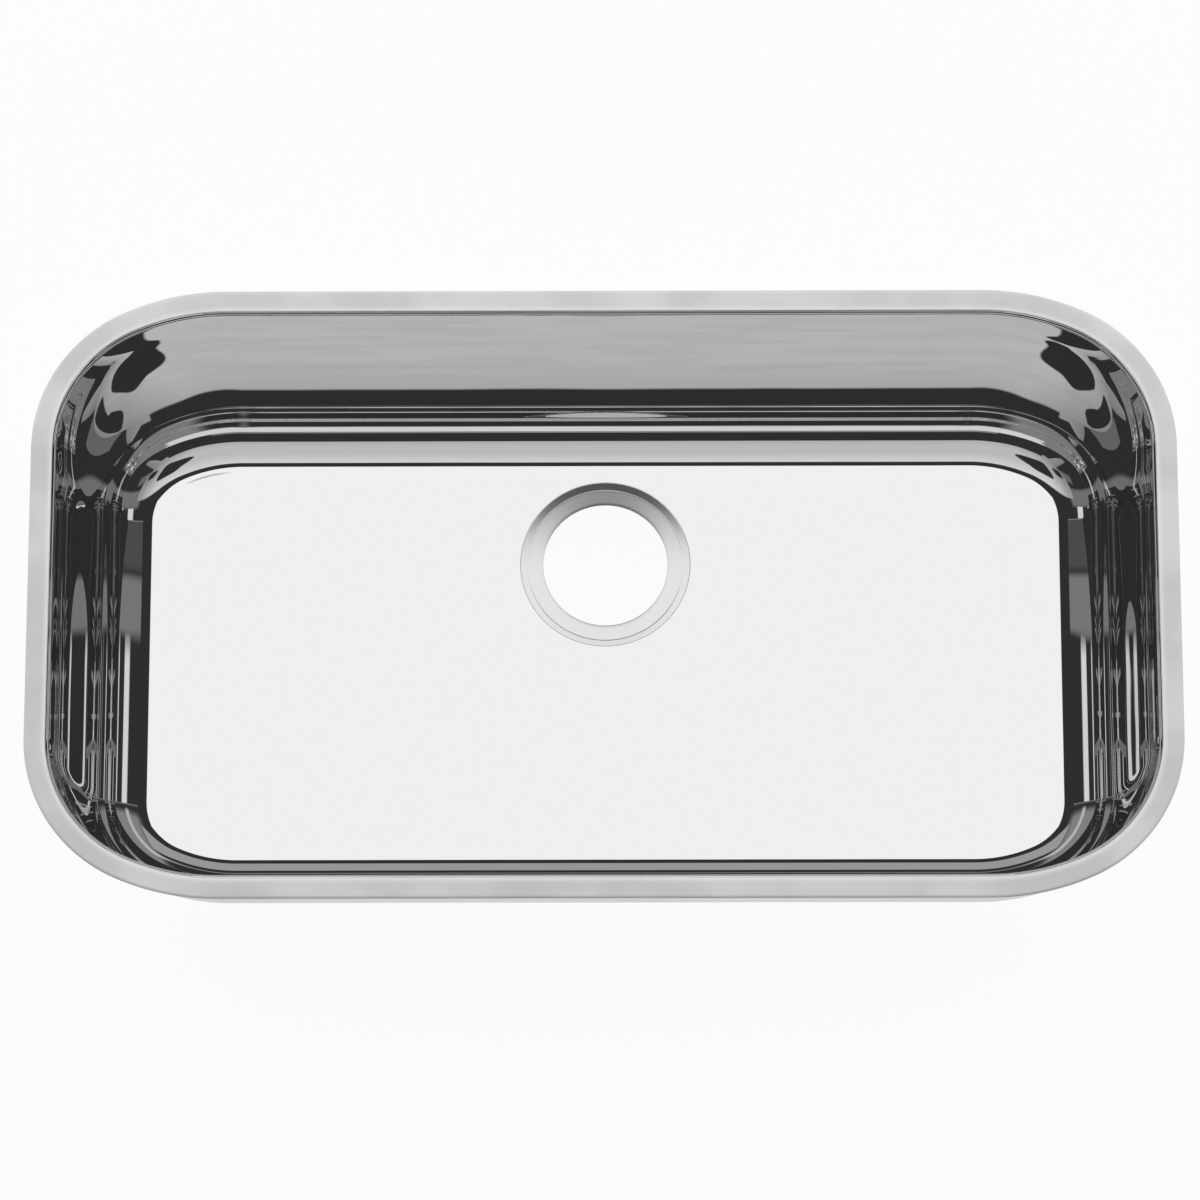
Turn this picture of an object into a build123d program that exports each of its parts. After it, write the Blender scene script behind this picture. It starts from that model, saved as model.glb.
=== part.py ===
from build123d import *
import os
from math import cos, radians, sin

# A single pressed bowl with a flat rim for setting into a worktop, with the seal under its rim,
# the sound pads under its floor and the swivel clamps that grip the worktop from below.
# Millimetres. +X runs along the bowl, +Y towards the drain, +Z up. Z = 0 is the worktop's surface.

# Rim and basin
rim_length = 760.0
rim_width = 415.0
flange_width = 16.5
bowl_depth = 184.0
sheet = 1.0
wall_straight = 34.0
cove_radius = 37.5
cove_turn = 74.5
lip_radius = 3.0
corner_long_radius = 165.0
corner_short_radius = 103.0
corner_long_turn = 24.0

# Drain recess, with a flat seat for the waste fitting
drain_offset = 69.3
drain_hole_diameter = 86.0
drain_seat_diameter = 108.0
drain_recess_diameter = 117.0
drain_recess_depth = 3.0
drain_bend_radius = 1.2
drain_collar_width = 3.0

# Foam seal under the rim
seal_thickness = 2.0
seal_width = 6.0
seal_setback = 1.0

# Sound pads under the floor
pad_thickness = 2.5
pad_corner_radius = 10.0
floor_pad_margin = 26.0
floor_pad_setback = 24.0

# Rim clamp: a bent bracket on the wall, a screw held in its tabs and a claw that rides on the screw
bracket_sheet = 1.2
bracket_width = 14.0
bracket_drop = 5.0
bracket_height = 28.0
bracket_bend_radius = 0.8
tab_margin = 3.0
tab_end_radius = 3.0
screw_diameter = 4.0
screw_tip_length = 1.2
screw_tip_chamfer = 0.5
screw_head_diameter = 6.5
screw_head_height = 2.2
screw_head_round = 1.0
screw_slot_length = 4.0
screw_slot_width = 0.9
screw_slot_depth = 1.2
screw_collar_diameter = 5.8
screw_collar_height = 1.0
claw_hub_diameter = 7.0
claw_hub_height = 6.0
claw_arm_reach = 28.0
claw_arm_width = 5.6
claw_arm_thickness = 3.0
claw_tooth_length = 3.5
claw_tooth_height = 9.0
claw_notch_depth = 2.0
claw_end_round = 1.2
clamp_corner_margin = 42.0

# Clearances
turning_clearance = 0.1
thread_clearance = 0.1
end_clearance = 0.2
hub_clearance = 0.5

# Levels, from the worktop's surface
rim_underside = seal_thickness
rim_top = rim_underside + sheet
floor_top = rim_top - bowl_depth
floor_underside = floor_top - sheet

# The straight stretch of each side, between its corners
corner_turn = radians(corner_long_turn)
corner_reach_along = corner_long_radius * sin(corner_turn) + corner_short_radius * (1 - sin(corner_turn))
corner_reach_across = corner_long_radius * (1 - cos(corner_turn)) + corner_short_radius * cos(corner_turn)
long_straight = rim_length - 2 * corner_reach_along
short_straight = rim_width - 2 * corner_reach_across

# The section's arcs: below its upright stretch the wall sweeps inwards until it meets the cove.
# Points are distances in from the rim's edge, and heights.
cove_lean = radians(cove_turn)
wall_foot = (flange_width, rim_top - wall_straight)
sweep_height = bowl_depth - wall_straight - cove_radius * (1 - cos(cove_lean))
sweep_radius = sweep_height / cos(cove_lean)
sweep_centre = (wall_foot[0] + sweep_radius, wall_foot[1])
floor_inset = sweep_centre[0] - (sweep_radius - cove_radius) * sin(cove_lean)
cove_centre = (floor_inset, floor_top + cove_radius)

# The flat of the floor, inside the cove
flat_half_length = rim_length / 2 - floor_inset
flat_half_width = rim_width / 2 - floor_inset

# How far the screw stands off the wall
screw_standoff = bracket_sheet + hub_clearance + claw_hub_diameter / 2

# Distances down the wall from the rim's top
bracket_foot = bracket_drop + bracket_height
screw_head_top = bracket_foot + end_clearance
screw_collar_foot = bracket_foot - bracket_sheet - end_clearance
claw_foot = screw_collar_foot - screw_collar_height - end_clearance

BACK = Vector(0, 1, 0)
FRONT = Vector(0, -1, 0)
RIGHT = Vector(1, 0, 0)
LEFT = Vector(-1, 0, 0)
UP = Vector(0, 0, 1)

clamp_pitch = long_straight / 2 - clamp_corner_margin

CLAMP_SITES = {
    "front_left": (FRONT, -clamp_pitch),
    "front_middle": (FRONT, 0),
    "front_right": (FRONT, clamp_pitch),
    "back_left": (BACK, -clamp_pitch),
    "back_middle": (BACK, 0),
    "back_right": (BACK, clamp_pitch),
    "left_side": (LEFT, 0),
    "right_side": (RIGHT, 0),
}


def rim_outline(inset):
    """Return the face inside the rim's edge, drawn `inset` in from it, with two arcs to each corner."""
    half_length = rim_length / 2 - inset
    half_width = rim_width / 2 - inset
    long_arc = corner_long_radius - inset
    short_arc = corner_short_radius - inset
    with BuildSketch() as outline:
        with BuildLine():
            Line((0, half_width), (long_straight / 2, half_width))
            CenterArc((long_straight / 2, half_width - long_arc), long_arc, 90, -corner_long_turn)
            CenterArc((half_length - short_arc, short_straight / 2), short_arc, 0, 90 - corner_long_turn)
            Line((half_length, short_straight / 2), (half_length, 0))
            mirror(about=Plane.YZ)
            mirror(about=Plane.XZ)
        make_face()
    return outline.sketch


def wall_plane(outward, along=0.0):
    """Return the plane of a wall's outer face: y runs up the wall from the rim's top, z straight out."""
    half_span = abs(outward.X) * rim_length / 2 + abs(outward.Y) * rim_width / 2
    mouth = half_span - flange_width + sheet
    along_axis = Vector(abs(outward.Y), abs(outward.X), 0)
    return Plane(
        origin=outward * mouth + along_axis * along + UP * rim_top,
        x_dir=UP.cross(outward),
        z_dir=outward,
    )


def screw_plane(wall):
    """Return the plane square to a clamp's screw: x along the wall, y straight out of it, z up the screw."""
    return Plane(
        origin=wall.origin + wall.z_dir * screw_standoff,
        x_dir=wall.x_dir * -1,
        z_dir=wall.y_dir,
    )


def section_plane(edge, inward):
    """Return the plane of a section through the rim: x runs in from the rim's edge and y runs up."""
    return Plane(origin=edge, x_dir=inward, z_dir=inward.cross(UP))


def wall_section(edge, inward):
    """Return the face of the sheet's section, from the rim's edge down to the start of the flat floor."""
    with BuildSketch(section_plane(edge, inward)) as section:
        with BuildLine():
            rim_and_wall = FilletPolyline(
                (0, rim_top),
                (flange_width, rim_top),
                wall_foot,
                radius=lip_radius,
            )
            wall_sweep = CenterArc(sweep_centre, sweep_radius, 180, 90 - cove_turn)
            cove = CenterArc(cove_centre, cove_radius, 270 - cove_turn, cove_turn)
            offset(Wire([*rim_and_wall.edges(), wall_sweep, cove]), amount=sheet, side=Side.RIGHT)
        make_face()
    return section.sketch


# Bowl: flat rim, upright walls that sweep into a cove, flat floor and drain recess, pressed from one sheet
with BuildPart() as bowl:
    # A quarter of the rim and wall: half a long side, the corner's two arcs and half a short side
    long_side_end = Vector(long_straight / 2, rim_width / 2)
    extrude(wall_section(long_side_end, FRONT), amount=long_straight / 2)
    long_arc_axis = Axis(long_side_end + FRONT * corner_long_radius, UP * -1)
    revolve(wall_section(long_side_end, FRONT), axis=long_arc_axis, revolution_arc=corner_long_turn)
    short_side_end = Vector(rim_length / 2, short_straight / 2)
    short_arc_axis = Axis(short_side_end + LEFT * corner_short_radius, UP)
    revolve(wall_section(short_side_end, LEFT), axis=short_arc_axis, revolution_arc=90 - corner_long_turn)
    extrude(wall_section(short_side_end, LEFT), amount=-short_straight / 2)
    mirror(about=Plane.YZ)
    mirror(about=Plane.XZ)
    with BuildSketch(Plane.XY.offset(floor_top)):
        add(rim_outline(floor_inset))
    extrude(amount=-sheet)
    # The recess round the drain is a bent ring of the same sheet
    drain_plane = Plane(origin=(0, drain_offset, floor_top), x_dir=RIGHT, z_dir=FRONT)
    drain_collar_radius = drain_recess_diameter / 2 + drain_collar_width
    with BuildSketch(Plane.XY.offset(floor_top)):
        with Locations((0, drain_offset)):
            Circle(drain_collar_radius)
    extrude(amount=-sheet, mode=Mode.SUBTRACT)
    with BuildSketch(drain_plane):
        with BuildLine():
            recess_top = FilletPolyline(
                (drain_collar_radius, 0),
                (drain_recess_diameter / 2, 0),
                (drain_seat_diameter / 2, -drain_recess_depth),
                (drain_hole_diameter / 2, -drain_recess_depth),
                radius=drain_bend_radius,
            )
            offset(recess_top, amount=sheet, side=Side.LEFT)
        make_face()
    revolve(axis=Axis(drain_plane.origin, UP))
bowl.part.label = "bowl"

# Rim seal: a foam strip stuck to the underside of the rim, near its edge
with BuildPart() as rim_seal:
    with BuildSketch(Plane.XY):
        add(rim_outline(seal_setback))
        add(rim_outline(seal_setback + seal_width), mode=Mode.SUBTRACT)
    extrude(amount=seal_thickness)
rim_seal.part.label = "rim_seal"

os.makedirs("parts", exist_ok=True)
export_step(bowl.part, "parts/bowl.step")
export_step(rim_seal.part, "parts/rim_seal.step")

# Floor pads: one on each side of the drain
floor_pad_start = drain_recess_diameter / 2 + floor_pad_setback
floor_pad_length = flat_half_length - floor_pad_margin - floor_pad_start
floor_pad_width = 2 * (flat_half_width - floor_pad_margin)
for side, sign in {"left": -1, "right": 1}.items():
    with BuildPart() as floor_pad:
        with BuildSketch(Plane.XY.offset(floor_underside)):
            with Locations((sign * (floor_pad_start + floor_pad_length / 2), 0)):
                RectangleRounded(floor_pad_length, floor_pad_width, pad_corner_radius)
        extrude(amount=-pad_thickness)
    floor_pad.part.label = f"floor_pad_{side}"
    export_step(floor_pad.part, f"parts/floor_pad_{side}.step")

# Rim clamps: at rest each claw is folded along its wall, at the foot of its screw
for site, (outward, along) in CLAMP_SITES.items():
    wall = wall_plane(outward, along)
    axis_plane = screw_plane(wall)
    bend_plane = Plane(origin=wall.origin, x_dir=wall.z_dir, z_dir=wall.x_dir * -1)
    tab_reach = screw_standoff + tab_margin
    screw_radius = screw_diameter / 2

    # Bracket: a strip bent into two tabs, with its back spot-welded to the wall
    with BuildPart() as bracket:
        with BuildSketch(bend_plane):
            with BuildLine():
                outer_bend = FilletPolyline(
                    (tab_reach, -bracket_drop),
                    (0, -bracket_drop),
                    (0, -bracket_foot),
                    (tab_reach, -bracket_foot),
                    radius=bracket_bend_radius + bracket_sheet,
                )
                offset(outer_bend, amount=bracket_sheet, side=Side.LEFT)
            make_face()
        extrude(amount=bracket_width / 2, both=True)
        upright_edges = bracket.edges().filter_by(Axis(axis_plane.origin, axis_plane.z_dir))
        fillet(upright_edges.group_by(Axis(wall.origin, wall.z_dir))[-1], tab_end_radius)
        with BuildSketch(axis_plane.offset(-bracket_drop)):
            Circle(screw_radius + turning_clearance)
        extrude(amount=-bracket_height, mode=Mode.SUBTRACT)
    bracket.part.label = f"clamp_bracket_{site}"
    export_step(bracket.part, f"parts/clamp_bracket_{site}.step")

    # Screw: it turns in both tabs, and its head and collar hold it at the lower one
    with BuildPart() as screw:
        with BuildSketch(axis_plane.offset(-screw_head_top)):
            Circle(screw_radius)
        extrude(amount=screw_head_top - bracket_drop + screw_tip_length)
        tip = screw.faces().sort_by(Axis(axis_plane.origin, axis_plane.z_dir))[-1]
        chamfer(tip.edges(), screw_tip_chamfer)
        with BuildSketch(axis_plane.offset(-screw_collar_foot)):
            Circle(screw_collar_diameter / 2)
        extrude(amount=screw_collar_height)
        with BuildSketch(axis_plane.offset(-screw_head_top)):
            Circle(screw_head_diameter / 2)
        extrude(amount=-screw_head_height)
        crown = screw.faces().sort_by(Axis(axis_plane.origin, axis_plane.z_dir))[0]
        fillet(crown.edges(), screw_head_round)
        with BuildSketch(axis_plane.offset(-screw_head_top - screw_head_height)):
            Rectangle(screw_slot_length, screw_slot_width)
            Rectangle(screw_slot_width, screw_slot_length)
        extrude(amount=screw_slot_depth, mode=Mode.SUBTRACT)
    screw.part.label = f"clamp_screw_{site}"
    export_step(screw.part, f"parts/clamp_screw_{site}.step")

    # Claw: a threaded hub, a flat arm and two teeth that bite the worktop's underside
    with BuildPart() as claw:
        with BuildSketch(axis_plane.offset(-claw_foot)):
            Circle(claw_hub_diameter / 2)
        extrude(amount=claw_hub_height)
        with BuildSketch(axis_plane.offset(-claw_foot)):
            Rectangle(claw_arm_reach, claw_arm_width, align=(Align.MIN, Align.CENTER))
        extrude(amount=claw_arm_thickness)
        with BuildSketch(axis_plane.offset(-claw_foot)):
            with Locations((claw_arm_reach, 0)):
                Rectangle(claw_tooth_length, claw_arm_width, align=(Align.MAX, Align.CENTER))
        extrude(amount=claw_tooth_height)
        upright_edges = claw.edges().filter_by(Axis(axis_plane.origin, axis_plane.z_dir))
        fillet(upright_edges.group_by(Axis(axis_plane.origin, axis_plane.x_dir))[-1], claw_end_round)
        tooth_plane = Plane(
            origin=axis_plane.origin - axis_plane.z_dir * (claw_foot - claw_tooth_height),
            x_dir=axis_plane.y_dir,
            z_dir=axis_plane.x_dir,
        )
        with BuildSketch(tooth_plane):
            with BuildLine():
                Polyline(
                    (-claw_arm_width / 2 + claw_end_round, 0),
                    (0, -claw_notch_depth),
                    (claw_arm_width / 2 - claw_end_round, 0),
                    close=True,
                )
            make_face()
        extrude(amount=claw_arm_reach, mode=Mode.SUBTRACT)
        with BuildSketch(axis_plane.offset(-claw_foot)):
            Circle(screw_radius + thread_clearance)
        extrude(amount=claw_hub_height, mode=Mode.SUBTRACT)
    claw.part.label = f"clamp_claw_{site}"
    export_step(claw.part, f"parts/clamp_claw_{site}.step")
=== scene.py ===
"""Looks of a flat-rimmed stainless steel sink bowl, with its rim seal, sound pads and worktop clamps."""

import logging
from dataclasses import dataclass
from enum import Enum
from math import atan2, cos, hypot, pi, radians, sin, tan
from typing import Any, Iterable

import bmesh
import bpy
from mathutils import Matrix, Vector


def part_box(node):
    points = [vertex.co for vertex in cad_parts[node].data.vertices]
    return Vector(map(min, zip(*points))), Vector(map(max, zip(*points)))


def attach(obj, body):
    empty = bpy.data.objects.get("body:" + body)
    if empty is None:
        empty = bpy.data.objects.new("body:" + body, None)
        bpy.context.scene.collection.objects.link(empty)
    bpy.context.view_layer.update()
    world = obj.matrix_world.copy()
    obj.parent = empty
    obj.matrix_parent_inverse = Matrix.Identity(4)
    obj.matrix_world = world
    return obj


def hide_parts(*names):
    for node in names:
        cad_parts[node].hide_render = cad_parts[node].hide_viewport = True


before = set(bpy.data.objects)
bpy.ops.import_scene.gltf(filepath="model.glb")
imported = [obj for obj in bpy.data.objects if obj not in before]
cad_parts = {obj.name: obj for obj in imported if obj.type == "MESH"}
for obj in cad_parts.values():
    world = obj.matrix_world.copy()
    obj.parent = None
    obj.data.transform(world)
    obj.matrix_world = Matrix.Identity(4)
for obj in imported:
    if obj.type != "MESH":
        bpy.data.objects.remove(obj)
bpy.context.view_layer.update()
BODY = "sink"
WELD = 1e-6
LEAST_RISE = 0.02
UPRIGHT = (0.0, 0.0, 1.0)
log = logging.getLogger("sink")

Point = tuple[float, float]
Limits = tuple[float, float]
Scales = tuple[float, float, float]
Colour = tuple[float, float, float, float]
Chain = list[bmesh.types.BMEdge]


class Signal:
    """One output of a shader node, with arithmetic that adds Math nodes."""

    def __init__(self, graph: "Graph", socket: bpy.types.NodeSocket) -> None:
        """Keep the socket and the graph that it belongs to."""
        self.graph = graph
        self.socket = socket

    def _math(self, operation: str, left: Any, right: Any) -> "Signal":
        """Add one Math node and return its value."""
        return self.graph.node("ShaderNodeMath", {"operation": operation}, {0: left, 1: right})

    def _mapped(self, step: str, start: float, end: float, low: float, high: float) -> "Signal":
        """Add one Map Range node and return its value."""
        inputs = {"Value": self, "From Min": start, "From Max": end, "To Min": low, "To Max": high}
        return self.graph.node("ShaderNodeMapRange", {"interpolation_type": step}, inputs)

    def __add__(self, other: Any) -> "Signal":
        """Add a number or a signal."""
        return self._math("ADD", self, other)

    def __radd__(self, other: Any) -> "Signal":
        """Add this signal to a number."""
        return self._math("ADD", other, self)

    def __sub__(self, other: Any) -> "Signal":
        """Take away a number or a signal."""
        return self._math("SUBTRACT", self, other)

    def __rsub__(self, other: Any) -> "Signal":
        """Take this signal away from a number."""
        return self._math("SUBTRACT", other, self)

    def __mul__(self, other: Any) -> "Signal":
        """Multiply by a number or a signal."""
        return self._math("MULTIPLY", self, other)

    def __rmul__(self, other: Any) -> "Signal":
        """Multiply a number by this signal."""
        return self._math("MULTIPLY", other, self)

    def __truediv__(self, other: Any) -> "Signal":
        """Divide by a number or a signal."""
        return self._math("DIVIDE", self, other)

    def __rtruediv__(self, other: Any) -> "Signal":
        """Divide a number by this signal."""
        return self._math("DIVIDE", other, self)

    def __abs__(self) -> "Signal":
        """Drop the sign."""
        return self._math("ABSOLUTE", self, 0.0)

    def most(self, other: Any) -> "Signal":
        """Return the larger of two values."""
        return self._math("MAXIMUM", self, other)

    def root(self) -> "Signal":
        """Return the square root."""
        return self._math("SQRT", self, 0.0)

    def wave(self) -> "Signal":
        """Return the sine."""
        return self._math("SINE", self, 0.0)

    def line(self, start: float, end: float, low: float, high: float) -> "Signal":
        """Return a straight slope between two values, level beyond them."""
        return self._mapped("LINEAR", start, end, low, high)

    def within(self, low: float, high: float, edge: float) -> "Signal":
        """Return 1 between two values and 0 outside them, with soft edges of this width."""
        half = edge / 2
        return self.ramp(low - half, low + half) * self.ramp(high - half, high + half, 1.0, 0.0)

    def ramp(self, start: float, end: float, low: float = 0.0, high: float = 1.0) -> "Signal":
        """Return a smooth step between two values.

        Args:
            start: The input at which the step begins.
            end: The input at which the step is complete.
            low: The output up to start.
            high: The output from end on.

        Returns:
            The stepped signal.
        """
        return self._mapped("SMOOTHSTEP", start, end, low, high)


class Graph:
    """A node tree that is written as Python expressions."""

    def __init__(self, tree: bpy.types.NodeTree) -> None:
        """Start from an empty tree."""
        self.tree = tree
        tree.nodes.clear()

    def node(self, kind: str, settings: dict[str, Any] | None = None,
             inputs: dict[Any, Any] | None = None, output: Any = 0) -> Signal:
        """Add one node.

        Args:
            kind: The node's type.
            settings: Its own properties, set first.
            inputs: Values or signals for its sockets, by name or number.
            output: The name or number of the socket to return.

        Returns:
            The chosen output.
        """
        made = self.tree.nodes.new(kind)
        for name, value in (settings or {}).items():
            setattr(made, name, value)
        for key, value in (inputs or {}).items():
            if isinstance(value, Signal):
                self.tree.links.new(value.socket, made.inputs[key])
            else:
                made.inputs[key].default_value = value
        return Signal(self, made.outputs[output])

    def place(self) -> Signal:
        """Return the point on the piece, in metres."""
        return self.node("ShaderNodeTexCoord", output="Object")

    def part(self, at: Signal, axis: str) -> Signal:
        """Return a point's distance along X, Y or Z."""
        return self.node("ShaderNodeSeparateXYZ", None, {0: at}, output=axis)

    def ray(self, kind: str) -> Signal:
        """Return 1 for rays of one kind and 0 for all others."""
        return self.node("ShaderNodeLightPath", output=f"Is {kind} Ray")

    def noise(self, at: Signal, scale: float, detail: float) -> Signal:
        """Return a cloud pattern from 0 to 1."""
        return self.node("ShaderNodeTexNoise", None, {"Vector": at, "Scale": scale, "Detail": detail})

    def streaks(self, at: Signal, scales: Scales, detail: float) -> Signal:
        """Return a cloud pattern with its own scale along each axis."""
        return self.noise(self.node("ShaderNodeMapping", None, {"Vector": at, "Scale": scales}), 1.0, detail)

    def tint(self, amount: Signal, low: Any, high: Any) -> Signal:
        """Return a colour between two, by an amount from 0 to 1."""
        return self.node("ShaderNodeMix", {"data_type": "RGBA"}, {0: amount, 6: low, 7: high}, output=2)

    def bump(self, height: Signal, distance: float = 1.0) -> Signal:
        """Return the surface's normal over a pattern of heights, which the distance turns into metres."""
        return self.node("ShaderNodeBump", None, {"Height": height, "Distance": distance})


def grey(level: float) -> Colour:
    """Return a neutral colour of this level."""
    return (level, level, level, 1.0)


def new_material(name: str) -> tuple[bpy.types.Material, Graph]:
    """Start a node material.

    Args:
        name: The material's name.

    Returns:
        The material and its empty graph.
    """
    material = bpy.data.materials.new(name)
    material.use_nodes = True
    return material, Graph(material.node_tree)


def principled(graph: Graph, inputs: dict[str, Any]) -> Signal:
    """Return one Principled shader."""
    return graph.node("ShaderNodeBsdfPrincipled", None, inputs)


def close(graph: Graph, shader: Signal, kind: str = "ShaderNodeOutputMaterial") -> None:
    """End a tree with its output."""
    output = graph.tree.nodes.new(kind)
    graph.tree.links.new(shader.socket, output.inputs["Surface"])


@dataclass(frozen=True)
class PolishedSteel:
    """The bowl's inside: a bright polish, a little wavy from the press, with faint streaks on the walls."""

    floor: float
    colour: Colour = grey(0.93)
    streaked: Colour = grey(0.86)
    streaks_from: float = 0.045
    streaks_full: float = 0.085
    streak_scales: Scales = (12.0, 12.0, 90.0)
    streak_detail: float = 3.0
    streak_edges: Limits = (0.4, 0.65)
    wave_scale: float = 16.0
    wave_detail: float = 1.0
    wave_height: float = 0.00006

    def material(self) -> bpy.types.Material:
        """Make the finish, with its streaks only above a height over the floor.

        Returns:
            The material.
        """
        material, graph = new_material("polished_steel")
        at = graph.place()
        normal = graph.bump(graph.noise(at, self.wave_scale, self.wave_detail), self.wave_height)
        height = graph.part(at, "Z") - self.floor
        streaks = graph.streaks(at, self.streak_scales, self.streak_detail).ramp(*self.streak_edges)
        streaks = streaks * height.ramp(self.streaks_from, self.streaks_full)
        colour = graph.tint(streaks, self.colour, self.streaked)
        close(graph, principled(graph, {"Base Color": colour, "Metallic": 1.0, "Roughness": 0.0,
                                        "Normal": normal}))
        return material


@dataclass(frozen=True)
class SatinSteel:
    """The rim's top and the drain seat: fine satin with faint cloudy marks, and painted sheen towards the
    rim's inner edge.

    The seat falls a little towards its hole. The brow round it is softer than the recess's wall, most of
    all at the front.
    """

    drain_offset: float
    dull: Colour = grey(0.63)
    bright: Colour = grey(0.73)
    # painted sheen: the lighter colour at the rim's inner edge
    painted_sheen: Colour = grey(0.94)
    seat: Colour = grey(0.80)
    cloud_scale: float = 14.0
    cloud_detail: float = 3.0
    cloud_edges: Limits = (0.35, 0.65)
    seat_reach: float = 0.0535
    seat_slope: float = 0.16
    brow_reach: float = 0.0600
    brow_slopes: Limits = (0.47, 0.33)
    rim_roughness: float = 0.34
    seat_roughness: float = 0.24
    # the painted sheen starts, and is full, at these distances in from the rim's edge
    painted_sheen_from: float = 0.0095
    painted_sheen_full: float = 0.0165

    def material(self) -> bpy.types.Material:
        """Make the finish, which changes between the drain and the rim.

        Returns:
            The material.
        """
        material, graph = new_material("satin_steel")
        at = graph.place()
        clouds = graph.noise(at, self.cloud_scale, self.cloud_detail).ramp(*self.cloud_edges)
        inset = graph.node("ShaderNodeAttribute", {"attribute_name": "inset"}, output="Fac")
        satin = graph.tint(clouds, self.dull, self.bright)
        # painted sheen: the rim's colour lightens towards its inner edge
        rim = graph.tint(inset.ramp(self.painted_sheen_from, self.painted_sheen_full), satin, self.painted_sheen)
        along, across = graph.part(at, "X"), graph.part(at, "Y") - self.drain_offset
        from_drain = (along * along + across * across).root()
        rise = from_drain.line(0.0, self.seat_reach, 0.0, self.seat_reach * self.seat_slope)
        brow = from_drain.line(self.seat_reach, self.brow_reach, 0.0, self.brow_reach - self.seat_reach)
        normal = graph.bump(rise - brow * across.line(0.0, self.brow_reach, *self.brow_slopes))
        beyond = from_drain.ramp(self.brow_reach, 2 * self.brow_reach)
        roughness = beyond.line(0.0, 1.0, self.seat_roughness, self.rim_roughness)
        colour = graph.tint(beyond, self.seat, rim)
        close(graph, principled(graph, {"Base Color": colour, "Metallic": 1.0, "Roughness": roughness,
                                        "Normal": normal}))
        return material


@dataclass(frozen=True)
class MillSteel:
    """The bowl's outside, as it left the press: dull, with drawing streaks down the walls."""

    dull: Colour = grey(0.56)
    bright: Colour = grey(0.74)
    streak_scales: Scales = (260.0, 260.0, 9.0)
    cloud_scale: float = 9.0
    detail: float = 3.0
    cloud_edges: Limits = (0.3, 0.7)
    roughness: Limits = (0.36, 0.5)

    def material(self) -> bpy.types.Material:
        """Make the finish.

        Returns:
            The material.
        """
        material, graph = new_material("mill_steel")
        at = graph.place()
        streaks = graph.streaks(at, self.streak_scales, self.detail)
        clouds = graph.noise(at, self.cloud_scale, self.detail)
        colour = graph.tint((streaks + clouds) / 2, self.dull, self.bright)
        roughness = clouds.ramp(*self.cloud_edges, *self.roughness)
        close(graph, principled(graph, {"Base Color": colour, "Metallic": 1.0, "Roughness": roughness}))
        return material


@dataclass(frozen=True)
class Thread:
    """A screw's thread, between two heights."""

    low: float
    high: float
    pitch: float = 0.0007
    depth: float = 0.0002

    def normal(self, graph: Graph, at: Signal) -> Signal:
        """Cut the thread.

        Args:
            graph: The graph of the screw's finish.
            at: The point on the screw.

        Returns:
            The threaded surface's normal.
        """
        height = graph.part(at, "Z")
        ridges = (height * (2 * pi / self.pitch)).wave() / 2
        return graph.bump(ridges * height.within(self.low, self.high, self.pitch), self.depth)


@dataclass(frozen=True)
class ZincPlate:
    """Bright zinc plate on the clamps' brackets and screws."""

    name: str
    thread: Thread | None = None
    dull: Colour = (0.58, 0.59, 0.62, 1.0)
    bright: Colour = (0.70, 0.71, 0.74, 1.0)
    cloud_scale: float = 220.0
    cloud_detail: float = 2.0
    cloud_edges: Limits = (0.3, 0.7)
    roughness: Limits = (0.24, 0.36)

    def material(self) -> bpy.types.Material:
        """Make the finish, with its thread where it has one.

        Returns:
            The material.
        """
        material, graph = new_material(self.name)
        at = graph.place()
        clouds = graph.noise(at, self.cloud_scale, self.cloud_detail)
        inputs = {"Base Color": graph.tint(clouds, self.dull, self.bright), "Metallic": 1.0,
                  "Roughness": clouds.ramp(*self.cloud_edges, *self.roughness)}
        if self.thread:
            inputs["Normal"] = self.thread.normal(graph, at)
        close(graph, principled(graph, inputs))
        return material


@dataclass(frozen=True)
class ZincCasting:
    """The cast claws: grey, with a fine cast skin."""

    dull: Colour = (0.40, 0.40, 0.42, 1.0)
    bright: Colour = (0.56, 0.56, 0.58, 1.0)
    cloud_scale: float = 120.0
    skin_scale: float = 900.0
    skin_depth: float = 0.00004
    detail: float = 2.0
    roughness: float = 0.45

    def material(self) -> bpy.types.Material:
        """Make the finish.

        Returns:
            The material.
        """
        material, graph = new_material("zinc_casting")
        at = graph.place()
        normal = graph.bump(graph.noise(at, self.skin_scale, self.detail), self.skin_depth)
        colour = graph.tint(graph.noise(at, self.cloud_scale, self.detail), self.dull, self.bright)
        close(graph, principled(graph, {"Base Color": colour, "Metallic": 1.0, "Roughness": self.roughness,
                                        "Normal": normal}))
        return material


@dataclass(frozen=True)
class SoftSkin:
    """A dark, matte skin with a fine grain, for the sound pads and the seal's foam."""

    name: str
    low: Colour
    high: Colour
    grain: float
    depth: float
    cloud_scale: float = 30.0
    cloud_detail: float = 3.0
    roughness: float = 0.85

    def material(self) -> bpy.types.Material:
        """Make the finish.

        Returns:
            The material.
        """
        material, graph = new_material(self.name)
        at = graph.place()
        grain = {"Vector": at, "Scale": self.grain}
        cells = graph.node("ShaderNodeTexVoronoi", {"feature": "SMOOTH_F1"}, grain)
        colour = graph.tint(graph.noise(at, self.cloud_scale, self.cloud_detail), self.low, self.high)
        close(graph, principled(graph, {"Base Color": colour, "Roughness": self.roughness,
                                        "Normal": graph.bump(cells, self.depth)}))
        return material


SEAL_FOAM = SoftSkin("seal_foam", low=grey(0.018), high=grey(0.03), grain=1500.0, depth=0.0002)
PAD_SKIN = SoftSkin("sound_pad", low=grey(0.05), high=grey(0.085), grain=420.0, depth=0.0003)


class Side(Enum):
    """The finish that each stretch of the bowl's sheet has, by material slot."""

    INSIDE = 0
    SATIN = 1
    OUTSIDE = 2


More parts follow.
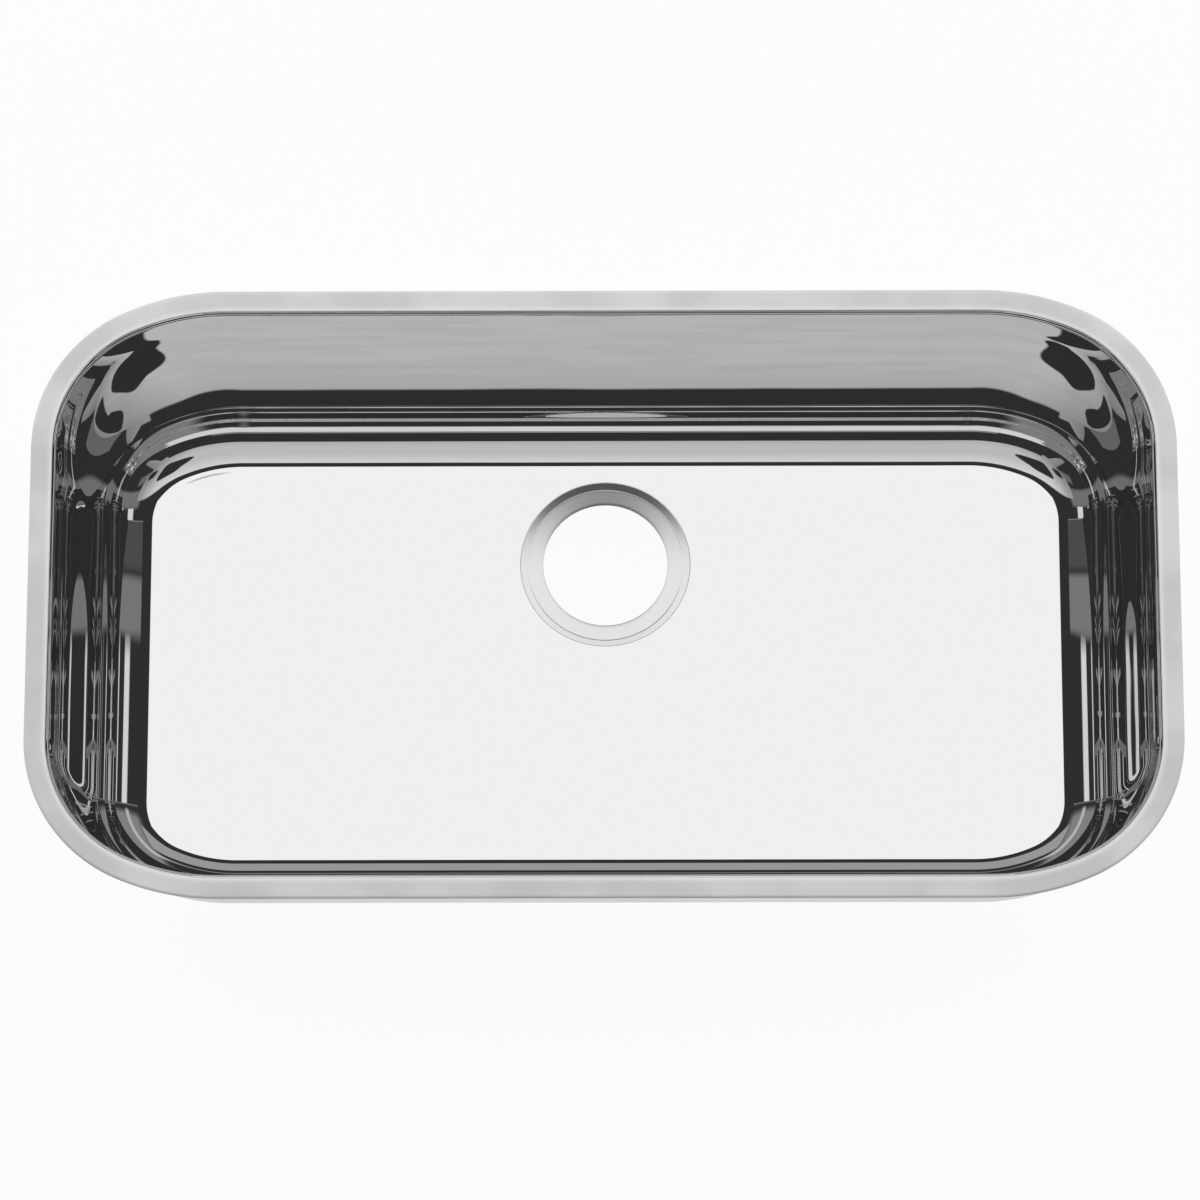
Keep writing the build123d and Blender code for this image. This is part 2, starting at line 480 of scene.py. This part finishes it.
def draw_chain(mesh: bmesh.types.BMesh, points: Iterable[tuple], closed: bool = False) -> Chain:
    """Join points in a row with edges.

    Args:
        mesh: The mesh to draw in.
        points: The points, in metres.
        closed: Whether the last point joins the first.

    Returns:
        The edges, in order.
    """
    corners = [mesh.verts.new(point) for point in points]
    ends = corners[1:] + corners[:1] if closed else corners[1:]
    return [mesh.edges.new(pair) for pair in zip(corners, ends)]


def chain_among(geometry: Iterable) -> Chain:
    """Return the edges of a list whose ends are both in it."""
    items = set(geometry)
    return [item for item in items if isinstance(item, bmesh.types.BMEdge) and items.issuperset(item.verts)]


def carry(mesh: bmesh.types.BMesh, chain: Chain, step: Vector) -> Chain:
    """Draw a chain of edges out along a straight step.

    Args:
        mesh: The mesh that holds the chain.
        chain: The edges to carry.
        step: How far, and which way.

    Returns:
        The chain at the far end.
    """
    made = bmesh.ops.extrude_edge_only(mesh, edges=chain)["geom"]
    corners = [item for item in made if isinstance(item, bmesh.types.BMVert)]
    bmesh.ops.translate(mesh, verts=corners, vec=step)
    return chain_among(made)


def turn(mesh: bmesh.types.BMesh, chain: Chain, centre: Point, angle: float, steps: int) -> Chain:
    """Spin a chain of edges round an upright axis, clockwise from above.

    Args:
        mesh: The mesh that holds the chain.
        chain: The edges to spin.
        centre: The axis, in plan.
        angle: How far, in radians.
        steps: The number of facets.

    Returns:
        The chain at the far end.
    """
    geometry = chain + list({corner for edge in chain for corner in edge.verts})
    made = bmesh.ops.spin(mesh, geom=geometry, cent=(*centre, 0.0), axis=UPRIGHT, angle=-angle, steps=steps)
    return chain_among(made["geom_last"])


def arc(centre: Point, radius: float, start: float, end: float, steps: int) -> list[Point]:
    """Return points on an arc of a section.

    Args:
        centre: The arc's centre, as distance along and height.
        radius: Its radius.
        start: Where it starts, as an angle from straight up, towards greater distance.
        end: Where it ends.
        steps: The number of facets.

    Returns:
        The points, both ends included.
    """
    angles = [start + (end - start) * index / steps for index in range(steps + 1)]
    return [(centre[0] + radius * sin(angle), centre[1] + radius * cos(angle)) for angle in angles]


@dataclass(frozen=True)
class RimOutline:
    """The sink's outline in plan: straight sides, and two tangent arcs at each corner."""

    half_length: float
    half_width: float
    long_radius: float = 0.165
    short_radius: float = 0.103
    long_turn: float = radians(24.0)
    long_steps: int = 16
    short_steps: int = 44
    seam: float = 0.002

    @property
    def straight_along(self) -> float:
        """Half of the straight stretch of a long side."""
        reach = self.long_radius * sin(self.long_turn) + self.short_radius * (1 - sin(self.long_turn))
        return self.half_length - reach

    @property
    def straight_across(self) -> float:
        """Half of the straight stretch of a short side."""
        reach = self.long_radius * (1 - cos(self.long_turn)) + self.short_radius * cos(self.long_turn)
        return self.half_width - reach

    def inset_at(self, x: float, y: float) -> float:
        """Measure how far in from the rim's edge a point is, in plan.

        Args:
            x: The point's place along the sink.
            y: Its place across the sink.

        Returns:
            The distance.
        """
        along, across = abs(x) - self.straight_along, abs(y) - self.straight_across
        if along <= 0.0:
            return self.half_width - abs(y)
        if across <= 0.0:
            return self.half_length - abs(x)
        from_long = (along, abs(y) - self.half_width + self.long_radius)
        if atan2(*from_long) < self.long_turn:
            return self.long_radius - hypot(*from_long)
        return self.short_radius - hypot(abs(x) - self.half_length + self.short_radius, across)

    def sweep(self, mesh: bmesh.types.BMesh, section: list[Point], closed: bool = False) -> None:
        """Carry a section round the whole outline.

        Args:
            mesh: The mesh to build in.
            section: Points as distance in from the rim's edge, and height.
            closed: Whether the section is a closed ring.
        """
        points = [(0.0, self.half_width - inset, height) for inset, height in section]
        chain = draw_chain(mesh, points, closed)
        for length in (self.straight_along - self.seam, self.seam):
            chain = carry(mesh, chain, Vector((length, 0.0, 0.0)))
        centre = (self.straight_along, self.half_width - self.long_radius)
        chain = turn(mesh, chain, centre, self.long_turn, self.long_steps)
        centre = (self.half_length - self.short_radius, self.straight_across)
        chain = turn(mesh, chain, centre, pi / 2 - self.long_turn, self.short_steps)
        for length in (self.seam, self.straight_across - self.seam):
            chain = carry(mesh, chain, Vector((0.0, -length, 0.0)))
        for axis in "XY":
            geometry = mesh.verts[:] + mesh.edges[:] + mesh.faces[:]
            bmesh.ops.mirror(mesh, geom=geometry, axis=axis, merge_dist=WELD)
        bmesh.ops.remove_doubles(mesh, verts=mesh.verts, dist=WELD)


def finish_piece(mesh: bmesh.types.BMesh, name: str, materials: list[bpy.types.Material], node: str) -> bpy.types.Object:
    """Turn a mesh into a finished piece that stands for a CAD node.

    Args:
        mesh: The closed mesh, in place.
        name: The piece's name.
        materials: Its material slots.
        node: The CAD node that it stands for.

    Returns:
        The piece.
    """
    data = bpy.data.meshes.new(name)
    mesh.to_mesh(data)
    mesh.free()
    for material in materials:
        data.materials.append(material)
    piece = bpy.data.objects.new(name, data)
    bpy.context.scene.collection.objects.link(piece)
    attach(piece, BODY)
    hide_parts(node)
    log.info("%s: %d faces for %s", name, len(data.polygons), node)
    return piece


@dataclass
class BowlShell:
    """The pressed bowl: flat rim, upright walls, coved floor and drain recess."""

    outline: RimOutline
    rim_top: float
    flange_width: float = 0.0165
    depth: float = 0.184
    sheet: float = 0.001
    upright: float = 0.034
    cove_radius: float = 0.0375
    cove_turn: float = radians(74.5)
    lip_radius: float = 0.003
    edge_round: float = 0.0003
    hole_round: float = 0.00045
    drain_offset: float = 0.0693
    hole_radius: float = 0.043
    seat_radius: float = 0.054
    recess_radius: float = 0.0585
    recess_depth: float = 0.003
    bend_radius: float = 0.0012
    collar_width: float = 0.003
    flat_margin: float = 0.004
    cove_steps: int = 40
    sweep_steps: int = 28
    lip_steps: int = 14
    bend_steps: int = 8
    edge_steps: int = 3
    hole_steps: int = 5
    drain_steps: int = 128
    top_tilt: float = 0.5

    @property
    def floor(self) -> float:
        """The height of the floor's top."""
        return self.rim_top - self.depth

    @property
    def sweep_radius(self) -> float:
        """The radius of the gentle sweep between the wall's upright stretch and the cove."""
        rise = self.depth - self.upright - self.cove_radius * (1 - cos(self.cove_turn))
        return rise / cos(self.cove_turn)

    @property
    def sweep_centre(self) -> Point:
        """The sweep's centre, as distance in from the rim's edge and height."""
        return self.flange_width + self.sweep_radius, self.rim_top - self.upright

    @property
    def flat_inset(self) -> float:
        """How far in from the rim's edge the flat floor starts."""
        return self.sweep_centre[0] - (self.sweep_radius - self.cove_radius) * sin(self.cove_turn)

    def section(self) -> list[Point]:
        """Draw the sheet's section from the floor's top, over the rim, to the floor's underside.

        Returns:
            The points, as distance in from the rim's edge and height.
        """
        upright = pi / 2
        bend = pi + self.cove_turn
        cove = (self.flat_inset, self.floor + self.cove_radius)
        lip = (self.flange_width - self.lip_radius, self.rim_top - self.lip_radius)
        edge = self.edge_round
        rim_underside = self.rim_top - self.sheet
        seam = self.outline.seam
        inner_floor = [(self.flat_inset + self.flat_margin, self.floor), (self.flat_inset + seam, self.floor)]
        inner_cove = arc(cove, self.cove_radius, pi, bend, self.cove_steps)
        inner_sweep = arc(self.sweep_centre, self.sweep_radius, bend, pi + upright, self.sweep_steps)[1:]
        inner_lip = arc(lip, self.lip_radius, upright, 0.0, self.lip_steps)
        edge_top = arc((edge, self.rim_top - edge), edge, 0.0, -pi / 2, self.edge_steps)
        edge_foot = arc((edge, rim_underside + edge), edge, -pi / 2, -pi, self.edge_steps)
        outer_lip = arc(lip, self.lip_radius - self.sheet, 0.0, upright, self.lip_steps)
        outer_radius = self.sweep_radius + self.sheet
        outer_sweep = arc(self.sweep_centre, outer_radius, pi + upright, bend, self.sweep_steps)
        outer_cove = arc(cove, self.cove_radius + self.sheet, bend, pi, self.cove_steps)[1:]
        outer_floor = [(inset, self.floor - self.sheet) for inset, _ in reversed(inner_floor)]
        wall_inside = self._supports(inner_sweep[-1], inner_lip[0])
        flange_top = self._supports(inner_lip[-1], edge_top[0])
        flange_foot = self._supports(edge_foot[-1], outer_lip[0])
        wall_outside = self._supports(outer_lip[-1], outer_sweep[0])
        inside = inner_floor + inner_cove + inner_sweep + wall_inside + inner_lip
        rim = flange_top + edge_top + edge_foot + flange_foot
        outside = outer_lip + wall_outside + outer_sweep + outer_cove + outer_floor
        return inside + rim + outside

    def _supports(self, start: Point, end: Point) -> list[Point]:
        """Place a point close to each end of a straight stretch, which keeps it flat between its bends.

        Args:
            start: The stretch's first end.
            end: Its second end.

        Returns:
            The two points.
        """
        run = Vector(end) - Vector(start)
        near = run.normalized() * min(self.outline.seam, run.length / 4)
        return [tuple(Vector(start) + near), tuple(Vector(end) - near)]

    def drain_section(self) -> list[Point]:
        """Draw the recess's section, from the floor's top to the hole and back along the underside.

        Returns:
            The points, as distance from the drain's axis and height.
        """
        slope = atan2(self.recess_depth, self.recess_radius - self.seat_radius)
        tangent = self.bend_radius * tan(slope / 2)
        seat = self.floor - self.recess_depth
        brow = (self.recess_radius + tangent, self.floor - self.bend_radius)
        foot = (self.seat_radius - tangent, seat + self.bend_radius)
        edge = self.hole_round
        collar = self.recess_radius + self.collar_width
        top_brow = arc(brow, self.bend_radius, 0.0, -slope, self.bend_steps)
        top_foot = arc(foot, self.bend_radius, pi - slope, pi, self.bend_steps)
        hole_top = arc((self.hole_radius + edge, seat - edge), edge, 0.0, -pi / 2, self.hole_steps)
        foot_centre = (self.hole_radius + edge, seat - self.sheet + edge)
        hole_foot = arc(foot_centre, edge, -pi / 2, -pi, self.hole_steps)
        low_foot = arc(foot, self.bend_radius + self.sheet, pi, pi - slope, self.bend_steps)
        low_brow = arc(brow, self.bend_radius - self.sheet, -slope, 0.0, self.bend_steps)
        floor_top = self._supports((collar, self.floor), top_brow[0])
        seat_top = self._supports(top_foot[-1], hole_top[0])
        above = [(collar, self.floor)] + floor_top + top_brow + top_foot + seat_top
        below = low_foot + low_brow + [(collar, self.floor - self.sheet)]
        return above + hole_top + hole_foot + below

    def build(self, materials: dict[Side, bpy.types.Material]) -> bpy.types.Object:
        """Make the bowl.

        Args:
            materials: The finish of each side of the sheet.

        Returns:
            The finished piece.
        """
        mesh = bmesh.new()
        self.outline.sweep(mesh, self.section())
        points = [(radius, self.drain_offset, height) for radius, height in self.drain_section()]
        ring = draw_chain(mesh, points)
        geometry = ring + list({corner for edge in ring for corner in edge.verts})
        bmesh.ops.spin(mesh, geom=geometry, cent=(0.0, self.drain_offset, 0.0), axis=UPRIGHT, angle=2 * pi,
                       steps=self.drain_steps, use_merge=True)
        for height in (self.floor, self.floor - self.sheet):
            rings = [edge for edge in mesh.edges if edge.is_boundary
                     and all(abs(corner.co.z - height) < WELD for corner in edge.verts)]
            bmesh.ops.triangle_fill(mesh, edges=rings, use_beauty=True)
        bmesh.ops.recalc_face_normals(mesh, faces=mesh.faces)
        inset = mesh.verts.layers.float.new("inset")
        for corner in mesh.verts:
            corner[inset] = self.outline.inset_at(corner.co.x, corner.co.y)
        for face in mesh.faces:
            face.smooth = True
            face.material_index = self._side(face).value
        return finish_piece(mesh, "bowl_shell", [materials[side] for side in Side], "bowl")

    def _side(self, face: bmesh.types.BMFace) -> Side:
        """Tell which finish a face has.

        Args:
            face: A face of the finished sheet.

        Returns:
            Its finish.
        """
        centre = face.calc_center_median()
        inward = face.normal.dot(Vector((0.0, 0.0, self.rim_top - self.depth / 2)) - centre) > 0
        from_drain = (centre.xy - Vector((0.0, self.drain_offset))).length
        if centre.z > self.rim_top - WELD and face.normal.z > self.top_tilt:
            return Side.SATIN
        if from_drain < self.recess_radius and face.normal.z > -self.top_tilt:
            return Side.SATIN
        return Side.INSIDE if inward else Side.OUTSIDE


@dataclass
class RimSeal:
    """The foam strip under the rim, with its lower corners rounded."""

    outline: RimOutline
    node: str = "rim_seal"
    width: float = 0.006
    edge_round: float = 0.0007
    edge_steps: int = 4
    fill: float = 0.9

    def build(self, material: bpy.types.Material) -> bpy.types.Object:
        """Make the seal.

        Args:
            material: Its finish.

        Returns:
            The finished piece.
        """
        low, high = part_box(self.node)
        outer = self.outline.half_length - high.x
        inner, edge = outer + self.width, self.edge_round
        section = ([(outer, high.z), (inner, high.z)]
                   + arc((inner - edge, low.z + edge), edge, pi / 2, pi, self.edge_steps)
                   + arc((outer + edge, low.z + edge), edge, pi, 3 * pi / 2, self.edge_steps))
        mesh = bmesh.new()
        self.outline.sweep(mesh, section, closed=True)
        bmesh.ops.recalc_face_normals(mesh, faces=mesh.faces)
        piece = finish_piece(mesh, "seal_strip", [material], self.node)
        return piece


@dataclass
class SoundPad:
    """One pad stuck under the floor, with rounded corners and a soft lower edge."""

    node: str
    corner_radius: float = 0.010
    corner_steps: int = 8
    edge_round: float = 0.0008
    edge_steps: int = 3
    fill: float = 1.0

    def build(self, material: bpy.types.Material) -> bpy.types.Object:
        """Make the pad.

        Args:
            material: Its finish.

        Returns:
            The finished piece.
        """
        low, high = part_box(self.node)
        size, centre = high - low, (low + high) / 2
        mesh = bmesh.new()
        bmesh.ops.create_cube(mesh, size=1.0)
        bmesh.ops.scale(mesh, verts=mesh.verts, vec=size)
        bmesh.ops.translate(mesh, verts=mesh.verts, vec=centre)
        uprights = [edge for edge in mesh.edges if abs(edge.verts[0].co.z - edge.verts[1].co.z) > size.z / 2]
        bmesh.ops.bevel(mesh, geom=uprights, offset=self.corner_radius, affect="EDGES",
                        segments=self.corner_steps, profile=0.5, material=-1)
        foot = [edge for edge in mesh.edges if all(abs(corner.co.z - low.z) < WELD for corner in edge.verts)]
        bmesh.ops.bevel(mesh, geom=foot, offset=self.edge_round, affect="EDGES",
                        segments=self.edge_steps, profile=0.5, material=-1)
        bmesh.ops.recalc_face_normals(mesh, faces=mesh.faces)
        piece = finish_piece(mesh, f"{self.node}_sheet", [material], self.node)
        return piece


@dataclass(frozen=True)
class Clamps:
    """The swivel clamps, which keep their CAD shapes and take new finishes."""

    head_height: float = 0.0056

    def dress(self) -> None:
        """Give every clamp piece its finish, with a thread on each screw above its head."""
        low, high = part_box("clamp_screw_front_middle")
        finishes = {
            "clamp_bracket_": ZincPlate("bracket_zinc").material(),
            "clamp_screw_": ZincPlate("screw_zinc", Thread(low.z + self.head_height, high.z)).material(),
            "clamp_claw_": ZincCasting().material(),
        }
        for name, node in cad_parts.items():
            for start, material in finishes.items():
                if name.startswith(start):
                    node.data.materials.clear()
                    node.data.materials.append(material)
                    log.info("%s: finished in %s", name, material.name)


def slopes(x: Signal, y: Signal, z: Signal) -> tuple[Signal, Signal]:
    """Return a direction's slopes from straight up: towards the front, and to either side."""
    above = z.most(LEAST_RISE)
    return 0.0 - y / above, abs(x / above)


@dataclass(frozen=True)
class Card:
    """One plain card, between two limits along each of two measures of direction."""

    along: Limits
    side: Limits
    level: float
    edges: Limits = (0.03, 0.03)

    def light(self, along: Signal, side: Signal) -> Signal:
        """Return the card's light."""
        return along.within(*self.along, self.edges[0]) * side.within(*self.side, self.edges[1]) * self.level


@dataclass(frozen=True)
class Shade:
    """An oval dark shape in front of the ceiling."""

    side: float
    front: float
    side_radius: float
    front_radius: float
    edge: Limits = (0.85, 1.15)

    def mask(self, front: Signal, side: Signal) -> Signal:
        """Cut the shape out of the light.

        Args:
            front: The direction's slope towards the front.
            side: Its slope to either side.

        Returns:
            0 on the shape and 1 round it.
        """
        across, along = (side - self.side) / self.side_radius, (front - self.front) / self.front_radius
        across, along = across * across, along * along
        return (across * across + along * along).ramp(*self.edge)


@dataclass(frozen=True)
class Overhead:
    """What hangs over the object, placed by slopes from straight up: towards the front, and to either side.

    The ceiling is a round grey panel that dims towards the front and the sides, and runs out dimmer at the
    front corners. Cards are placed by both slopes, strips by the direction's share along Y and the side
    slope, and the ring by the distance from straight up and that share.
    """

    reach: Limits = (0.935, 0.965)
    front: Limits = (-0.05, 0.905)
    front_edge: float = 0.03
    near_levels: Limits = (0.655, 0.49)
    flat_front: Limits = (0.30, 0.60)
    far_dim: float = 0.80
    side_fade: Limits = (0.25, 0.75)
    side_dim: float = 0.48
    corner: Limits = (0.72, 1.45)
    corner_edge: float = 0.06
    corner_levels: Limits = (0.31, 0.18)
    corner_growth: Limits = (0.95, 1.25)
    corner_reach: Limits = (1.1, 2.2)
    corner_fade: Limits = (-0.05, 0.05)
    corner_front: Limits = (0.20, 0.22)
    shades: tuple[Shade, ...] = (Shade(0.315, 0.32, 0.155, 0.195), Shade(0.70, 0.365, 0.105, 0.09))
    cards: tuple[Card, ...] = (
        Card((-0.335, -0.200), (-1.0, 0.095), 0.90, (0.01, 0.018)),
        Card((-0.90, -0.49), (-1.0, 0.45), 0.30),
        Card((-2.9, -2.02), (-1.0, 1.4), 0.70, (0.2, 0.4)),
        Card((1.80, 3.0), (-1.0, 0.3), 0.20, (0.1, 0.05)),
        Card((0.28, 0.50), (0.84, 1.28), 0.11),
    )
    strips: tuple[Card, ...] = (
        Card((0.12, 0.256), (1.10, 1.68), 0.65, (0.006, 0.12)),
        Card((0.12, 0.256), (2.95, 3.40), 0.60, (0.006, 0.10)),
        Card((0.257, 0.2656), (0.47, 50.0), 0.16, (0.002, 0.05)),
        Card((0.2666, 0.2785), (0.47, 50.0), 0.045, (0.002, 0.05)),
        Card((0.35, 2.0), (0.45, 50.0), 0.20, (0.10, 0.30)),
        Card((-0.10, 0.12), (0.80, 50.0), 0.14, (0.06, 0.20)),
    )
    ring: Card = Card((1.12, 1.42), (0.32, 0.75), 0.45, (0.1, 0.05))
    horizon: Limits = (0.12, 0.17)
    horizon_level: float = 0.70
    dark_level: float = 0.029

    def light(self, x: Signal, y: Signal, z: Signal) -> Signal:
        """Gather the light that comes from each direction.

        Args:
            x: The direction's share along X.
            y: Its share along Y.
            z: Its share upwards.

        Returns:
            The light.
        """
        front, side = slopes(x, y, z)
        reach = (front * front + side * side).root()
        light = self._ceiling(front, side, reach).most(self.ring.light(reach, y))
        for card in self.cards:
            light = light.most(card.light(front, side))
        for strip in self.strips:
            light = light.most(strip.light(y, side))
        return light.most(z.ramp(*self.horizon, self.horizon_level, 0.0)) + self.dark_level

    def _ceiling(self, front: Signal, side: Signal, reach: Signal) -> Signal:
        """Lay out the ceiling, with its dark shapes in front.

        Args:
            front: The direction's slope towards the front.
            side: Its slope to either side.
            reach: Its distance from straight up, as a slope.

        Returns:
            The ceiling's light.
        """
        turn = side / front.most(LEAST_RISE)
        level = (front.line(self.front[0], self.flat_front[0], *self.near_levels)
                 * front.line(self.flat_front[1], self.reach[1], 1.0, self.far_dim)
                 * side.line(*self.side_fade, 1.0, self.side_dim))
        disc = reach.ramp(*self.reach, 1.0, 0.0) * front.within(*self.front, self.front_edge) * level
        beyond = reach - turn.line(*self.corner_growth, *self.corner_reach)
        corner = (turn.within(*self.corner, self.corner_edge) * turn.line(*self.corner, *self.corner_levels)
                  * beyond.ramp(*self.corner_fade, 1.0, 0.0) * front.ramp(*self.corner_front))
        light = disc.most(corner)
        for shade in self.shades:
            light = light * shade.mask(front, side)
        return light


@dataclass(frozen=True)
class Tent:
    """The same light as dull surfaces gather it: dim in front of straight up, and even elsewhere."""

    level: float = 1.03
    dim: float = 0.95
    dim_from: Limits = (-0.25, 0.15)
    dim_to: Limits = (1.3, 2.0)
    dim_sides: Limits = (0.8, 1.4)
    low: Limits = (0.15, 0.4)
    low_level: float = 0.75

    def light(self, x: Signal, y: Signal, z: Signal) -> Signal:
        """Gather the light that comes from each direction.

        Args:
            x: The direction's share along X.
            y: Its share along Y.
            z: Its share upwards.

        Returns:
            The light.
        """
        front, side = slopes(x, y, z)
        dim = (front.ramp(*self.dim_from) * front.ramp(*self.dim_to, 1.0, 0.0)
               * side.ramp(*self.dim_sides, 1.0, 0.0))
        high = self.level - dim * self.dim
        return high + z.ramp(*self.low, 1.0, 0.0) * (self.low_level - high)


@dataclass
class Studio:
    """The plain floor, the soft light and the camera."""

    rim_centre: Vector
    lowest: float
    distance: float = 3.941
    tilt: float = radians(15.25)
    lean: float = radians(0.42)
    sensor: float = 36.0
    lens: float = 179.45
    far_clip: float = 100.0
    frame_pixels: float = 1200.0
    centre_pixel: Point = (603.6, 590.3)
    floor_size: float = 14.0
    floor_gap: float = 0.0005
    floor_levels: Limits = (0.4, 0.92)
    floor_colour: Colour = grey(0.09)
    max_bounces: int = 16
    glossy_bounces: int = 12
    overhead: Overhead = Overhead()
    tent: Tent = Tent()

    def camera(self) -> None:
        """Set the camera where the photograph's was."""
        data = bpy.data.cameras.new("camera")
        data.sensor_width = self.sensor
        data.lens = self.lens
        data.clip_end = self.far_clip
        camera = bpy.data.objects.new("camera", data)
        bpy.context.scene.collection.objects.link(camera)
        camera.rotation_euler = (self.tilt, self.lean, 0.0)
        pixel = self.sensor * self.distance / (self.lens * self.frame_pixels)
        right = (self.frame_pixels / 2 - self.centre_pixel[0]) * pixel
        up = (self.centre_pixel[1] - self.frame_pixels / 2) * pixel
        offset = camera.rotation_euler.to_matrix() @ Vector((right, up, self.distance))
        camera.location = self.rim_centre + offset
        bpy.context.scene.camera = camera

    def floor(self) -> None:
        """Lay the pale floor, which the polish sees only through the drain, in the bowl's shade."""
        mesh = bmesh.new()
        bmesh.ops.create_grid(mesh, x_segments=1, y_segments=1, size=self.floor_size / 2)
        bmesh.ops.translate(mesh, verts=mesh.verts, vec=(0.0, 0.0, self.lowest - self.floor_gap))
        data = bpy.data.meshes.new("floor")
        mesh.to_mesh(data)
        mesh.free()
        material, graph = new_material("pale_floor")
        shown = graph.ray("Camera") + graph.ray("Glossy") + graph.ray("Transmission") - graph.ray("Singular")
        seen = graph.node("ShaderNodeEmission", None, {"Color": shown.line(0.0, 1.0, *self.floor_levels)})
        lit = graph.node("ShaderNodeBsdfDiffuse", None, {"Color": self.floor_colour})
        top = graph.node("ShaderNodeAddShader", None, {0: seen, 1: lit})
        below = graph.node("ShaderNodeNewGeometry", output="Backfacing")
        clear = graph.node("ShaderNodeBsdfTransparent")
        close(graph, graph.node("ShaderNodeMixShader", None, {0: below, 1: top, 2: clear}))
        data.materials.append(material)
        floor = bpy.data.objects.new("floor", data)
        bpy.context.scene.collection.objects.link(floor)

    def world(self) -> None:
        """Surround the object with soft light, and with panels and dark gaps that the polish mirrors."""
        world = bpy.data.worlds.new("studio")
        bpy.context.scene.world = world
        world.use_nodes = True
        graph = Graph(world.node_tree)
        away = graph.node("ShaderNodeTexCoord", output="Generated")
        direction = [graph.part(away, axis) for axis in "XYZ"]
        mirrored, tent = self.overhead.light(*direction), self.tent.light(*direction)
        strength = tent + graph.ray("Singular") * (mirrored - tent)
        strength = strength + graph.ray("Camera") * (1.0 - strength)
        close(graph, graph.node("ShaderNodeBackground", None, {"Color": strength}), "ShaderNodeOutputWorld")

    def build(self) -> None:
        """Set up the whole studio."""
        scene = bpy.context.scene
        scene.view_settings.view_transform = "Standard"
        scene.cycles.max_bounces = self.max_bounces
        scene.cycles.glossy_bounces = self.glossy_bounces
        self.camera()
        self.floor()
        self.world()


def main() -> None:
    """Build every piece in order, then the studio."""
    logging.basicConfig(level=logging.INFO, format="%(name)s %(message)s")
    low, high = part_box("bowl")
    outline = RimOutline(high.x, high.y)
    bowl = BowlShell(outline, high.z)
    bowl.build({
        Side.INSIDE: PolishedSteel(bowl.floor).material(),
        Side.SATIN: SatinSteel(bowl.drain_offset).material(),
        Side.OUTSIDE: MillSteel().material(),
    })
    RimSeal(outline).build(SEAL_FOAM.material())
    pad_skin = PAD_SKIN.material()
    for node in ("floor_pad_left", "floor_pad_right"):
        SoundPad(node).build(pad_skin)
    Clamps().dress()
    pad_foot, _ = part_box("floor_pad_left")
    Studio(Vector((0.0, 0.0, high.z)), min(low.z, pad_foot.z)).build()


if __name__ == "__main__":
    main()
